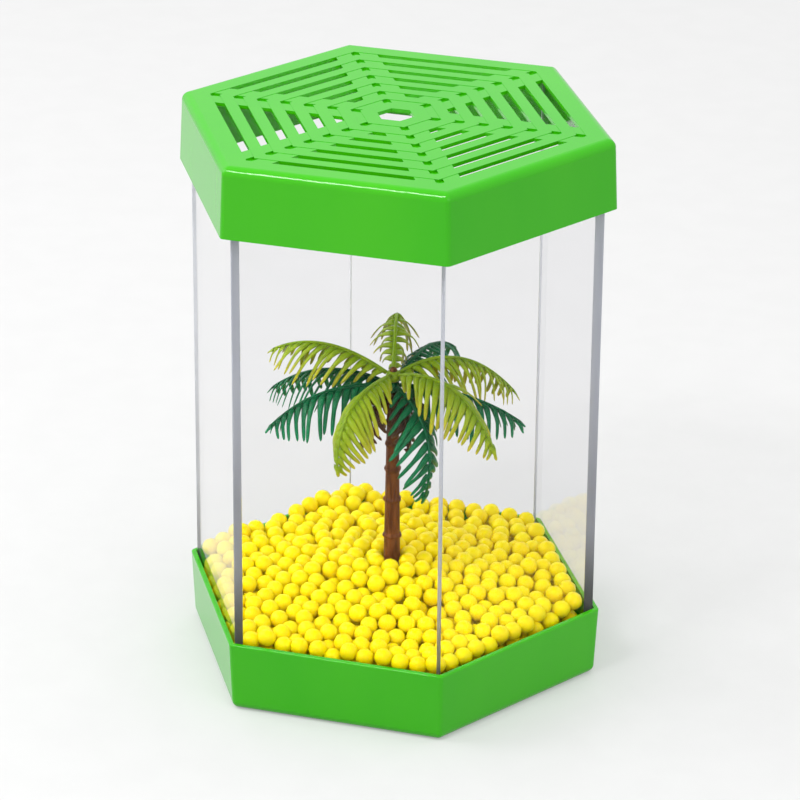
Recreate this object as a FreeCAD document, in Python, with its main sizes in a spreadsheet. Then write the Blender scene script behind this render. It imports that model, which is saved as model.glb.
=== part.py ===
"""Hexagonal betta tank: base tray, six clear panels, vented lid, bead bed and palm.

Millimetres, +Z up. The origin is on the floor under the middle of the tray. Corners of the
hexagon lie on the X axis and flat sides face -Y and +Y.
"""
import FreeCAD, Part
import math
import os

import Sketcher

Vector = FreeCAD.Vector
SIDES = 6
TURN = 360.0 / SIDES
COS_HALF_TURN = math.cos(math.radians(TURN / 2))
FLAT = "cos(30 deg)"
RING_BARS = 7
SIDE_NAMES = ("back_right", "back", "back_left", "front_left", "front", "front_right")
CORNER_NAMES = ("right", "right_back", "left_back", "left", "left_front", "right_front")

# Driving dimensions, in millimetres and degrees. A radius of a hexagon runs to its corner.
SIZES = [
    ("tray_foot_radius", 68.8, "outside of the tray where it stands"),
    ("tray_rim_radius", 70.0, "outside of the tray at its rim"),
    ("tray_height", 23.4, "floor to rim"),
    ("tray_floor", 2.5, "thickness under the beads"),
    ("groove_level", 8.0, "height of the groove that holds the panels"),
    ("kerb_rise", 5.0, "height of the kerb inside the groove"),
    ("kerb_wall", 1.5, "thickness of that kerb"),
    ("kerb_play", 0.3, "gap between kerb and panels"),
    ("rim_play", 0.4, "gap between panels and the tray wall"),
    ("rim_round", 0.5, "rounding of the rim's outer edge"),
    ("corner_round", 1.8, "rounding of upright corners on tray and lid"),
    ("edge_round", 2.8, "rounding under the tray and on top of the lid"),
    ("panel_radius", 67.8, "outside of the clear panels"),
    ("panel_thick", 3.0, "thickness of a panel"),
    ("panel_height", 173.9, "height of a panel"),
    ("base_seal_thick", 1.0, "sealant under the panels"),
    ("corner_seal_thick", 0.3, "adhesive film in each mitre"),
    ("lid_mouth_radius", 71.8, "outside of the lid's skirt at its mouth"),
    ("lid_top_radius", 70.7, "outside of the lid at its top"),
    ("lid_skirt", 22.6, "height of the lid"),
    ("lid_wall", 1.6, "thickness of the skirt"),
    ("lid_deck", 1.6, "thickness of the deck where it rests on the panels"),
    ("vent_flat", 53.0, "middle of the lid to the outermost slot's far edge"),
    ("vent_margin", 1.5, "width of the thin web outside the outermost slot"),
    ("vent_web", 1.2, "thickness of the vent's bars"),
    ("slot_width", 2.8, "width of a ring slot"),
    ("bar_width", 3.9, "width of a ring bar between two slots"),
    ("hub_hole_flat", 5.2, "middle of the lid to a side of the central hole"),
    ("rib_width", 5.5, "width of a rib along a diagonal"),
    ("rib_gap", 2.6, "sunken strip between the two ribs of a diagonal"),
    ("rib_sink", 0.1, "how far a rib lies below the ring bars"),
    ("notch_sink", 0.8, "how far the strip between two ribs lies below the ring bars"),
    ("bead_diameter", 6.0, "one ball of the bed"),
    ("bead_spacing", 6.1, "distance between balls of the top layer"),
    ("bead_play", 0.2, "gap between the bed and what holds it"),
    ("bead_lift", 0.05, "gap between the bed and the balls of the top layer"),
    ("bed_level", 21.0, "top of the buried balls along the walls"),
    ("heap_rise", 5.5, "how far they are heaped up round the trunk"),
    ("heap_top_radius", 10.0, "level top of that heap"),
    ("socket_play", 0.3, "gap between the trunk and the bed"),
    ("trunk_foot_radius", 2.6, "trunk where it stands in the beads"),
    ("trunk_top_radius", 1.9, "trunk under the fronds"),
    ("trunk_bare_level", 28.0, "height where the taper starts"),
    ("trunk_top_level", 86.6, "height where the fronds start"),
    ("collar_rise", 0.35, "how far a trunk ring stands out"),
    ("collar_height", 1.3, "height of a trunk ring"),
    ("collar_first", 39.2, "height of the lowest ring"),
    ("collar_step", 12.8, "distance from the lowest ring to the next"),
    ("collar_ratio", 0.84, "each further step as a share of the one below it"),
    ("pin_radius", 1.2, "pin that carries the fronds"),
    ("pin_rise", 1.2, "pin end above the upper hub"),
    ("hub_play", 0.1, "gap between pin and hub"),
    ("hub_radius", 3.0, "outside of a frond hub"),
    ("hub_height", 3.8, "height of a frond hub, each standing on the one below"),
    ("frond_half_width", 7.0, "rachis to leaflet tips at the widest place"),
    ("dry_half_width", 3.6, "the same on a dry frond"),
    ("stalk_half_width", 0.9, "rachis to its edge"),
    ("frond_thick", 0.8, "thickness of a frond"),
    ("frond_fold", 44.0, "angle of the leaflets below the rachis"),
    ("leaf_pitch", 3.1, "distance between leaflets along the rachis"),
    ("leaf_slit", 1.1, "gap between leaflets"),
    ("leaf_sweep", 36.0, "angle of the leaflets towards the tip"),
]

# Each frond: its direction, the reach of its tip, the reach and rise of the point that bows
# the rachis, and the height of the tip. Heights count from the rachis's root on the hub.
FROND_SIZES = ("turn", "reach", "bow", "rise", "drop")
FRONDS = {
    "dry": [(237.0 + 72.0 * step, 13.0, 13.0, -2.0, -15.0) for step in range(5)],
    "lower": [
        (166.0, 48.5, 28.0, 5.0, -14.0),
        (217.0, 43.5, 27.0, 5.5, -10.5),
        (318.0, 19.0, 32.0, -4.0, -35.0),
        (6.0, 42.8, 26.0, 1.0, -10.5),
        (80.0, 44.0, 26.0, 10.0, -4.0),
    ],
    "upper": [
        (105.0, 34.0, 19.0, 16.0, 6.0),
        (181.0, 42.5, 25.0, 14.0, 2.0),
        (260.0, 38.0, 41.0, 7.0, -21.0),
        (338.0, 42.0, 28.0, 10.0, -18.0),
        (36.0, 43.3, 24.0, 11.5, -15.0),
    ],
}

# Shape of every frond: where its rachis starts on the hub, as shares of the hub's height and
# radius, the exponents that place and fill out the widest stretch of the blade, the number of
# spans that its arch is drawn with, and the leaf pitches of bare stalk before the first slit.
SEAT_SHARE = 0.7
ROOT_SHARE = 0.75
BLADE_SKEW = 0.75
BLADE_FULLNESS = 0.9
BLADE_SPANS = 9
BARE_PITCHES = 2.0
# Points along an arch where its length is measured, and a cutting box's size in half widths.
ARCH_SAMPLES = 200
CUTTER_SHARE = 4.0

# Shift of the ball lattice along X, in ball distances, so that no ball stands on the axis.
LATTICE_SHIFT = 0.25

# Two heights closer than this are the same, and an edge that climbs more is upright.
SAME_LEVEL = 0.0001
LEAST_CLIMB = 0.1

doc = FreeCAD.newDocument("betta_tank")
sheet = doc.addObject("Spreadsheet::Sheet", "Dims")
nodes = []

# Heights and radii that several pieces share, as expressions on the sheet.
PANEL_LEVEL = "(Dims.groove_level + Dims.base_seal_thick)"
PANEL_TOP = f"({PANEL_LEVEL} + Dims.panel_height)"
PANEL_OUTER = f"(Dims.panel_radius * {FLAT})"
PANEL_INNER = f"({PANEL_OUTER} - Dims.panel_thick)"
WELL_FLAT = f"({PANEL_OUTER} + Dims.rim_play)"
KERB_OUTER = f"(({PANEL_INNER} - Dims.kerb_play) / {FLAT})"
KERB_INNER = f"(({PANEL_INNER} - Dims.kerb_play - Dims.kerb_wall) / {FLAT})"
LID_TOP = f"({PANEL_TOP} + Dims.lid_deck)"
LID_MOUTH = f"({LID_TOP} - Dims.lid_skirt)"
WEB_LEVEL = f"({LID_TOP} - Dims.vent_web)"
HUB_FLAT = f"(Dims.vent_flat - {RING_BARS} * Dims.slot_width - {RING_BARS - 1} * Dims.bar_width)"
RIB_START = f"({HUB_FLAT} + Dims.hub_hole_flat) / (2 * {FLAT})"
RIB_FINISH = f"(Dims.vent_flat + Dims.vent_margin / 2) / {FLAT}"


def fill_sheet():
    """Write every driving dimension into the sheet under its own name."""
    rows = list(SIZES)
    for whorl, fronds in FRONDS.items():
        for index, frond in enumerate(fronds, start=1):
            for word, value in zip(FROND_SIZES, frond):
                rows.append((f"{whorl}_{index}_{word}", value, f"{whorl} frond {index}, {word}"))
    for row, (alias, value, meaning) in enumerate(rows, start=1):
        sheet.set(f"A{row}", meaning)
        sheet.set(f"B{row}", str(value))
        sheet.setAlias(f"B{row}", alias)
    doc.recompute()


def size(alias):
    """Read one driving dimension."""
    return float(sheet.get(alias))


def keep(item, label):
    """Name a finished sub-part and put it on the list of nodes."""
    item.Label = label
    nodes.append(item)


def origin_part(body, role):
    """Find one of a body's own origin planes or axes by its role."""
    return next(feature for feature in body.Origin.OriginFeatures if feature.Role == role)


def level_sketch(body, name, level):
    """Start a sketch that lies flat at a height given by an expression."""
    sketch = body.newObject("Sketcher::SketchObject", name)
    sketch.AttachmentSupport = [(origin_part(body, "XY_Plane"), "")]
    sketch.MapMode = "FlatFace"
    sketch.setExpression("AttachmentOffset.Base.z", level)
    return sketch


def draw_loop(sketch, points):
    """Draw a closed chain of lines through points and return the first line's number."""
    first = sketch.GeometryCount
    count = len(points)
    joints = []
    for step in range(count):
        sketch.addGeometry(Part.LineSegment(points[step], points[(step + 1) % count]), False)
        follower = first + (step + 1) % count
        joints.append(Sketcher.Constraint("Coincident", first + step, 2, follower, 1))
    sketch.addConstraint(joints)
    return first


def drive(sketch, name, constraint, expression):
    """Add a named constraint to a sketch and tie it to the sheet."""
    index = sketch.addConstraint(constraint)
    sketch.renameConstraint(index, name)
    sketch.setExpression(f"Constraints.{name}", expression)


def add_hexagon(sketch, name, radius):
    """Draw a regular hexagon with a corner on +X. Its radius is an expression."""
    guess = size("panel_radius")
    corners = []
    for step in range(SIDES):
        angle = math.radians(step * TURN)
        corners.append(Vector(guess * math.cos(angle), guess * math.sin(angle), 0))
    first = draw_loop(sketch, corners)
    circle = sketch.addGeometry(Part.Circle(Vector(0, 0, 0), Vector(0, 0, 1), guess), True)
    links = [Sketcher.Constraint("Coincident", circle, 3, -1, 1)]
    links.append(Sketcher.Constraint("PointOnObject", first, 1, -1))
    for step in range(SIDES):
        links.append(Sketcher.Constraint("PointOnObject", first + step, 1, circle))
    for step in range(1, SIDES):
        links.append(Sketcher.Constraint("Equal", first, first + step))
    sketch.addConstraint(links)
    drive(sketch, name, Sketcher.Constraint("Radius", circle, guess), radius)


def hexagon_sketch(body, name, level, *radii):
    """Sketch one hexagon, or rings between several, at a height."""
    sketch = level_sketch(body, name, level)
    for index, radius in enumerate(radii):
        add_hexagon(sketch, f"corner_radius_{index}", radius)
    return sketch


def pad(body, name, sketch, length):
    """Raise a sketch by a length."""
    feature = body.newObject("PartDesign::Pad", name)
    feature.Profile = sketch
    feature.setExpression("Length", length)
    doc.recompute()
    return feature


def pocket(body, name, sketch, length, upward):
    """Cut a sketch into the body by a length, up or down."""
    before = body.Shape.Volume
    feature = body.newObject("PartDesign::Pocket", name)
    feature.Profile = sketch
    feature.Reversed = upward
    feature.setExpression("Length", length)
    doc.recompute()
    if body.Shape.Volume >= before:
        raise RuntimeError(f"{name} cuts nothing")
    return feature


def drafted_block(body, name, level, height, start_radius, end_radius):
    """Raise a hexagon whose sides slant from one radius to another, and give the slant too."""
    plan = hexagon_sketch(body, f"{name}Plan", level, start_radius)
    block = pad(body, name, plan, height)
    slant = f"atan(({end_radius} - {start_radius}) * {FLAT} / {height})"
    block.setExpression("TaperAngle", slant)
    doc.recompute()
    return block, slant


def upright_edges(shape):
    """Names of the edges that climb, at the corners and across the rounded edge."""
    found = []
    for index, edge in enumerate(shape.Edges, start=1):
        heights = [vertex.Point.z for vertex in edge.Vertexes]
        if max(heights) - min(heights) > LEAST_CLIMB:
            found.append(f"Edge{index}")
    return found


def level_edges(shape, level, clear):
    """Names of the edges that lie at one height, further than a distance from the middle."""
    found = []
    for index, edge in enumerate(shape.Edges, start=1):
        heights = [vertex.Point.z for vertex in edge.Vertexes]
        middle = edge.CenterOfMass
        flat = max(abs(height - level) for height in heights + [middle.z]) < SAME_LEVEL
        if flat and math.hypot(middle.x, middle.y) > clear:
            found.append(f"Edge{index}")
    return found


def fillet(body, name, base, edges, radius):
    """Round some edges of a body."""
    feature = body.newObject("PartDesign::Fillet", name)
    feature.Base = (base, edges)
    feature.setExpression("Radius", radius)
    doc.recompute()
    return feature


def round_outside(body, name, block, level):
    """Round a drafted block's closed end, then its corners, which stay below that rounding."""
    end = fillet(body, f"{name}End", block, level_edges(block.Shape, level, 0.0), "Dims.edge_round")
    fillet(body, f"{name}Corners", end, upright_edges(end.Shape), "Dims.corner_round")


def prism(name, radius, level, height):
    """An upright hexagonal prism with a corner on +X, all from expressions."""
    item = doc.addObject("Part::Prism", name)
    item.Polygon = SIDES
    item.setExpression("Circumradius", radius)
    item.setExpression("Height", height)
    item.setExpression("Placement.Base.z", level)
    return item


def cylinder(name, radius, level, height):
    """An upright cylinder on the middle axis, all from expressions."""
    item = doc.addObject("Part::Cylinder", name)
    item.setExpression("Radius", radius)
    item.setExpression("Height", height)
    item.setExpression("Placement.Base.z", level)
    return item


def cut(name, base, tool):
    """Take one shape out of another."""
    item = doc.addObject("Part::Cut", name)
    item.Base = base
    item.Tool = tool
    return item


def fuse(name, shapes):
    """Join shapes into one solid."""
    item = doc.addObject("Part::MultiFuse", name)
    item.Shapes = shapes
    return item


def make_tray():
    """Drafted tray: rounded outside, groove for the panels, kerb and hollow for the beads."""
    body = doc.addObject("PartDesign::Body", "TrayBody")
    radii = ("Dims.tray_foot_radius", "Dims.tray_rim_radius")
    block, _ = drafted_block(body, "TrayBlock", "0", "Dims.tray_height", *radii)
    round_outside(body, "Tray", block, 0.0)
    well = hexagon_sketch(body, "TrayWell", "Dims.tray_height", f"{WELL_FLAT} / {FLAT}")
    pocket(body, "TraySeat", well, "Dims.tray_height - Dims.groove_level", False)
    ring = hexagon_sketch(body, "TrayKerbRing", "Dims.groove_level", KERB_OUTER, KERB_INNER)
    pad(body, "TrayKerb", ring, "Dims.kerb_rise")
    hollow = hexagon_sketch(body, "TrayHollowPlan", "Dims.groove_level", KERB_INNER)
    cavity = pocket(body, "TrayHollow", hollow, "Dims.groove_level - Dims.tray_floor", False)
    well_flat = size("panel_radius") * COS_HALF_TURN + size("rim_play")
    rim_flat = size("tray_rim_radius") * COS_HALF_TURN
    outer_edges = level_edges(cavity.Shape, size("tray_height"), (well_flat + rim_flat) / 2)
    fillet(body, "TrayRimRound", cavity, outer_edges, "Dims.rim_round")
    keep(body, "base_tray")


def draw_panel_plan(sketch, half_outer, half_inner):
    """Draw a panel's plan on the +Y side: long outer edge, short inner edge, mitred ends."""
    flat = size("panel_radius") * COS_HALF_TURN
    inside = flat - size("panel_thick")
    points = [Vector(-flat, flat), Vector(flat, flat), Vector(inside, inside), Vector(-inside, inside)]
    outer = draw_loop(sketch, points)
    inner = outer + 2
    sketch.addConstraint(Sketcher.Constraint("Symmetric", outer, 1, outer, 2, -2))
    sketch.addConstraint(Sketcher.Constraint("Symmetric", inner, 2, inner, 1, -2))
    bounds = [
        ("outer_flat", "DistanceY", (outer, 2, flat), PANEL_OUTER),
        ("inner_flat", "DistanceY", (inner, 1, inside), PANEL_INNER),
        ("outer_half", "DistanceX", (outer, 2, flat), half_outer),
        ("inner_half", "DistanceX", (inner, 1, inside), half_inner),
    ]
    for name, kind, end, expression in bounds:
        drive(sketch, name, Sketcher.Constraint(kind, -1, 1, *end), expression)


def make_panels():
    """Sealant ring in the groove, six mitred panels and the film in each mitre."""
    ring = prism("SealRing", "Dims.panel_radius", "Dims.groove_level", "Dims.base_seal_thick")
    hole = prism("SealHole", f"{PANEL_INNER} / {FLAT}", "Dims.groove_level", "Dims.base_seal_thick")
    keep(cut("BaseSeal", ring, hole), "base_seal")
    film = f"Dims.corner_seal_thick / (2 * {FLAT})"
    half_outer = f"({PANEL_OUTER} * tan(30 deg) - {film})"
    half_inner = f"({PANEL_INNER} * tan(30 deg) - {film})"
    for side, name in enumerate(SIDE_NAMES):
        body = doc.addObject("PartDesign::Body", f"Panel{side}")
        facing = FreeCAD.Rotation(Vector(0, 0, 1), (side - 1) * TURN)
        body.Placement = FreeCAD.Placement(Vector(0, 0, 0), facing)
        plan = level_sketch(body, f"PanelPlan{side}", PANEL_LEVEL)
        draw_panel_plan(plan, half_outer, half_inner)
        pad(body, f"PanelSheet{side}", plan, "Dims.panel_height")
        keep(body, f"panel_{name}")
    reach_outer = f"({PANEL_OUTER} * {FLAT} + {half_outer} * sin(30 deg))"
    reach_inner = f"({PANEL_INNER} * {FLAT} + {half_inner} * sin(30 deg))"
    half_film = "Dims.corner_seal_thick / 2"
    for corner, name in enumerate(CORNER_NAMES):
        angle = f"{corner * TURN} deg"
        strip = doc.addObject("Part::Box", f"CornerSeal{corner}")
        strip.setExpression("Length", f"{reach_outer} - {reach_inner}")
        strip.setExpression("Width", "Dims.corner_seal_thick")
        strip.setExpression("Height", "Dims.panel_height")
        strip.setExpression("Placement.Base.x", f"{reach_inner} * cos({angle}) + {half_film} * sin({angle})")
        strip.setExpression("Placement.Base.y", f"{reach_inner} * sin({angle}) - {half_film} * cos({angle})")
        strip.setExpression("Placement.Base.z", PANEL_LEVEL)
        strip.setExpression("Placement.Rotation.Angle", angle)
        keep(strip, f"corner_seal_{name}")


def draw_rib_pair(sketch):
    """Two strips either side of the +X diagonal, from the hub ring into the lid's border."""
    near = size("rib_gap") / 2
    far = near + size("rib_width")
    reach = size("vent_flat")
    for hand, word in ((1, "left"), (-1, "right")):
        points = [Vector(far, near * hand), Vector(reach, near * hand)]
        points += [Vector(reach, far * hand), Vector(far, far * hand)]
        inner = draw_loop(sketch, points)
        for step, kind in enumerate(("Horizontal", "Vertical", "Horizontal", "Vertical")):
            sketch.addConstraint(Sketcher.Constraint(kind, inner + step))
        gap_ends = [(-1, 1), (inner, 1)][::hand]
        width_ends = [(inner, 1), (inner + 2, 1)][::hand]
        bounds = [
            ("start", "DistanceX", [(-1, 1), (inner, 1)], far, RIB_START),
            ("finish", "DistanceX", [(-1, 1), (inner, 2)], reach, RIB_FINISH),
            ("gap", "DistanceY", gap_ends, near, "Dims.rib_gap / 2"),
            ("width", "DistanceY", width_ends, far - near, "Dims.rib_width"),
        ]
        for name, kind, (low, high), guess, expression in bounds:
            drive(sketch, f"{word}_{name}", Sketcher.Constraint(kind, *low, *high, guess), expression)


def draw_spine(sketch):
    """One strip along the +X diagonal, which closes the gap between two ribs from below."""
    half = (size("rib_gap") + size("rib_width")) / 2
    reach = size("vent_flat")
    points = [Vector(half, -half), Vector(reach, -half), Vector(reach, half), Vector(half, half)]
    near = draw_loop(sketch, points)
    for step, kind in enumerate(("Horizontal", "Vertical", "Horizontal")):
        sketch.addConstraint(Sketcher.Constraint(kind, near + step))
    sketch.addConstraint(Sketcher.Constraint("Symmetric", near, 1, near + 2, 2, -1))
    bounds = [
        ("start", "DistanceX", near, 1, half, RIB_START),
        ("finish", "DistanceX", near, 2, reach, RIB_FINISH),
        ("half_width", "DistanceY", near + 2, 1, half, "(Dims.rib_gap + Dims.rib_width) / 2"),
    ]
    for name, kind, line, end, guess, expression in bounds:
        drive(sketch, name, Sketcher.Constraint(kind, -1, 1, line, end, guess), expression)


def ring_radii():
    """Outer and inner radius of every ring bar, as expressions, from the outermost bar in."""
    radii = []
    for bar in range(RING_BARS):
        outer = f"(Dims.vent_flat - Dims.slot_width - {bar} * (Dims.slot_width + Dims.bar_width))"
        innermost = bar == RING_BARS - 1
        inner = "Dims.hub_hole_flat" if innermost else f"({outer} - Dims.bar_width)"
        radii += [f"{outer} / {FLAT}", f"{inner} / {FLAT}"]
    return radii


def make_lid():
    """Flared cap with a thin web of ring bars and paired diagonal ribs in its deck."""
    body = doc.addObject("PartDesign::Body", "LidBody")
    radii = ("Dims.lid_mouth_radius", "Dims.lid_top_radius")
    block, slant = drafted_block(body, "LidBlock", LID_MOUTH, "Dims.lid_skirt", *radii)
    round_outside(body, "Lid", block, block.Shape.BoundBox.ZMax)
    mouth = f"Dims.lid_mouth_radius - Dims.lid_wall / {FLAT}"
    inside = hexagon_sketch(body, "LidInside", LID_MOUTH, mouth)
    cavity = pocket(body, "LidCavity", inside, "Dims.lid_skirt - Dims.lid_deck", True)
    cavity.setExpression("TaperAngle", slant)
    thin_radius = f"(Dims.vent_flat + Dims.vent_margin) / {FLAT}"
    thin = hexagon_sketch(body, "LidThinPlan", PANEL_TOP, thin_radius)
    pocket(body, "LidThin", thin, "Dims.lid_deck - Dims.vent_web", True)
    field = hexagon_sketch(body, "LidFieldPlan", WEB_LEVEL, f"Dims.vent_flat / {FLAT}")
    pocket(body, "LidField", field, "Dims.vent_web", True)
    ribs = level_sketch(body, "LidRibPlan", WEB_LEVEL)
    draw_rib_pair(ribs)
    rib = pad(body, "LidRibs", ribs, "Dims.vent_web - Dims.rib_sink")
    spines = level_sketch(body, "LidSpinePlan", WEB_LEVEL)
    draw_spine(spines)
    spine = pad(body, "LidSpine", spines, "Dims.vent_web - Dims.notch_sink")
    pattern = body.newObject("PartDesign::PolarPattern", "LidRibPattern")
    pattern.Originals = [rib, spine]
    pattern.Axis = (origin_part(body, "Z_Axis"), [""])
    pattern.Angle = 360.0
    pattern.Occurrences = SIDES
    body.Tip = pattern
    doc.recompute()
    rings = hexagon_sketch(body, "LidRingPlan", WEB_LEVEL, *ring_radii())
    pad(body, "LidRings", rings, "Dims.vent_web")
    keep(body, "lid")


def bead_spots():
    """Centres of the top layer: a triangular lattice inside the panels and round the trunk."""
    radius = size("bead_diameter") / 2
    spacing = size("bead_spacing")
    wall = size("panel_radius") * COS_HALF_TURN - size("panel_thick")
    limit = wall - radius - size("bead_play")
    clear = radius + size("trunk_foot_radius") + size("socket_play")
    rise = size("heap_rise")
    heap_foot = wall - size("bead_play")
    slope = rise / (heap_foot - size("heap_top_radius"))
    on_slope = radius * math.hypot(1.0, slope)
    count = math.ceil(2 * limit / spacing)
    facings = [math.radians(step * TURN) for step in range(SIDES)]
    spots = []
    for row in range(-count, count + 1):
        for column in range(-count, count + 1):
            x = spacing * (column + (row % 2) / 2 + LATTICE_SHIFT)
            y = spacing * row * COS_HALF_TURN
            reach = max(x * math.sin(angle) + y * math.cos(angle) for angle in facings)
            away = math.hypot(x, y)
            seat = min(rise + radius, max(radius, (heap_foot - away) * slope + on_slope))
            if reach <= limit and away >= clear:
                spots.append(Vector(x, y, size("bed_level") + seat + size("bead_lift")))
    return spots


def make_beads():
    """Buried balls as one heaped bed with a socket for the trunk, and a layer of loose balls."""
    step_level = "(Dims.groove_level + Dims.kerb_rise + Dims.bead_play)"
    low_radius = f"{KERB_INNER} - Dims.bead_play / {FLAT}"
    high_radius = f"({PANEL_INNER} - Dims.bead_play) / {FLAT}"
    low = prism("BedLow", low_radius, "Dims.tray_floor", f"{step_level} - Dims.tray_floor")
    high = prism("BedHigh", high_radius, step_level, f"Dims.bed_level - {step_level}")
    heap = doc.addObject("Part::Cone", "BedHeap")
    heap.setExpression("Radius1", f"{PANEL_INNER} - Dims.bead_play")
    heap.setExpression("Radius2", "Dims.heap_top_radius")
    heap.setExpression("Height", "Dims.heap_rise")
    heap.setExpression("Placement.Base.z", "Dims.bed_level")
    socket_radius = "Dims.trunk_foot_radius + Dims.socket_play"
    depth = "Dims.bed_level + Dims.heap_rise - Dims.tray_floor"
    socket = cylinder("BedSocket", socket_radius, "Dims.tray_floor", depth)
    keep(cut("BeadBed", fuse("BedBlock", [low, high, heap]), socket), "bead_bed")
    layer = doc.addObject("Part::Feature", "TopBeads")
    balls = [Part.makeSphere(size("bead_diameter") / 2, spot) for spot in bead_spots()]
    layer.Shape = Part.makeCompound(balls)
    keep(layer, "top_beads")


def collar_levels():
    """Heights of the trunk's rings, as expressions: each step is shorter than the one below."""
    ratio = size("collar_ratio")
    highest = size("trunk_top_level") - size("collar_height")
    height = size("collar_first")
    step = size("collar_step")
    levels = []
    while height < highest:
        steps = f"(1 - Dims.collar_ratio ^ {len(levels)}) / (1 - Dims.collar_ratio)"
        levels.append(f"(Dims.collar_first + Dims.collar_step * {steps})")
        height += step
        step *= ratio
    return levels


def make_trunk():
    """Trunk: straight foot in the beads, tapered stem with rings, and the pin for the hubs."""
    foot_height = "Dims.trunk_bare_level - Dims.tray_floor"
    foot = cylinder("TrunkFoot", "Dims.trunk_foot_radius", "Dims.tray_floor", foot_height)
    stem = doc.addObject("Part::Cone", "TrunkStem")
    stem_height = "(Dims.trunk_top_level - Dims.trunk_bare_level)"
    stem.setExpression("Radius1", "Dims.trunk_foot_radius")
    stem.setExpression("Radius2", "Dims.trunk_top_radius")
    stem.setExpression("Height", stem_height)
    stem.setExpression("Placement.Base.z", "Dims.trunk_bare_level")
    pin_height = f"{len(FRONDS)} * Dims.hub_height + Dims.pin_rise"
    pin = cylinder("TrunkPin", "Dims.pin_radius", "Dims.trunk_top_level", pin_height)
    pieces = [foot, stem, pin]
    slope = f"(Dims.trunk_foot_radius - Dims.trunk_top_radius) / {stem_height}"
    for ring, level in enumerate(collar_levels()):
        stem_radius = f"Dims.trunk_foot_radius - ({level} - Dims.trunk_bare_level) * {slope}"
        radius = f"{stem_radius} + Dims.collar_rise"
        pieces.append(cylinder(f"TrunkCollar{ring}", radius, level, "Dims.collar_height"))
    keep(fuse("Trunk", pieces), "palm_trunk")


class Arch:
    """Rachis of a frond: a quadratic arch from the hub through a bow point to the tip."""

    def __init__(self, root_level, frond):
        turn, reach, bow, rise, drop = frond
        heading = math.radians(turn)
        self.outward = Vector(math.cos(heading), math.sin(heading), 0)
        self.side = Vector(-math.sin(heading), math.cos(heading), 0)
        root = ROOT_SHARE * size("hub_radius")
        self.points = [
            self.outward * root + Vector(0, 0, root_level),
            self.outward * bow + Vector(0, 0, root_level + rise),
            self.outward * reach + Vector(0, 0, root_level + drop),
        ]

    def spot(self, share):
        """Point on the arch at a share of its way from root to tip."""
        start, bow, end = self.points
        return start * (1 - share) ** 2 + bow * (2 * share * (1 - share)) + end * share ** 2

    def frame(self, share):
        """Direction along the arch there, and the direction square to it and to the side."""
        start, bow, end = self.points
        along = (bow - start) * (1 - share) + (end - bow) * share
        along.normalize()
        return along, along.cross(self.side)


def half_width_at(share, widest):
    """Half width of a blade: a stalk that swells along a skewed sine and closes again."""
    stalk = size("stalk_half_width")
    swell = max(0.0, math.sin(math.pi * share ** BLADE_SKEW))
    return stalk + (widest - stalk) * swell ** BLADE_FULLNESS


def leaf_slits(arch, widest):
    """Boxes that part the leaflets: swept towards the tip, starting beside the rachis."""
    points = [arch.spot(index / ARCH_SAMPLES) for index in range(ARCH_SAMPLES + 1)]
    lengths = [0.0]
    for before, after in zip(points, points[1:]):
        lengths.append(lengths[-1] + (after - before).Length)
    pitch = size("leaf_pitch")
    slit = size("leaf_slit")
    stalk = size("stalk_half_width")
    sweep = math.radians(size("leaf_sweep"))
    depth = CUTTER_SHARE * widest
    boxes = []
    place = BARE_PITCHES * pitch
    while place < lengths[-1] - pitch:
        index = next(step for step, length in enumerate(lengths) if length >= place)
        along, normal = arch.frame(index / ARCH_SAMPLES)
        for hand in (1, -1):
            reach = arch.side * (hand * math.cos(sweep)) + along * math.sin(sweep)
            across = normal.cross(reach)
            start = points[index] + reach * stalk - across * (slit / 2) - normal * (depth / 2)
            box = Part.makeBox(depth, slit, depth)
            box.Placement = FreeCAD.Placement(start, FreeCAD.Rotation(reach, across, normal, "ZXY"))
            boxes.append(box)
        place += pitch
    return boxes


def frond_shape(root_level, frond, widest):
    """One comb frond: a folded blade along an arch, slit into leaflets on both sides."""
    arch = Arch(root_level, frond)
    thick = size("frond_thick")
    fold = math.tan(math.radians(size("frond_fold")))
    wires = []
    for index in range(BLADE_SPANS + 1):
        share = index / BLADE_SPANS
        middle = arch.spot(share)
        _, normal = arch.frame(share)
        half = half_width_at(share, widest)
        dip = half * fold
        upper = [(-half, -dip), (0, 0), (half, -dip)]
        under = [(half, -dip - thick), (0, -thick), (-half, -dip - thick)]
        section = [middle + arch.side * across + normal * height for across, height in upper + under]
        wires.append(Part.makePolygon(section + section[:1]))
    blade = Part.makeLoft(wires, True, True)
    return blade.cut(Part.makeCompound(leaf_slits(arch, widest)))


def make_whorl(whorl, widest):
    """Five fronds on a hub that slips on the trunk's pin, above the whorls named before it."""
    height = size("hub_height")
    foot = Vector(0, 0, size("trunk_top_level") + list(FRONDS).index(whorl) * height)
    hub = Part.makeCylinder(size("hub_radius"), height, foot)
    bore = Part.makeCylinder(size("pin_radius") + size("hub_play"), height, foot)
    root_level = foot.z + SEAT_SHARE * height
    fronds = []
    for index in range(1, len(FRONDS[whorl]) + 1):
        frond = [size(f"{whorl}_{index}_{word}") for word in FROND_SIZES]
        fronds.append(frond_shape(root_level, frond, widest))
    item = doc.addObject("Part::Feature", f"{whorl.title()}Whorl")
    item.Shape = hub.fuse(fronds).cut(bore)
    keep(item, f"palm_{whorl}_whorl")


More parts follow.
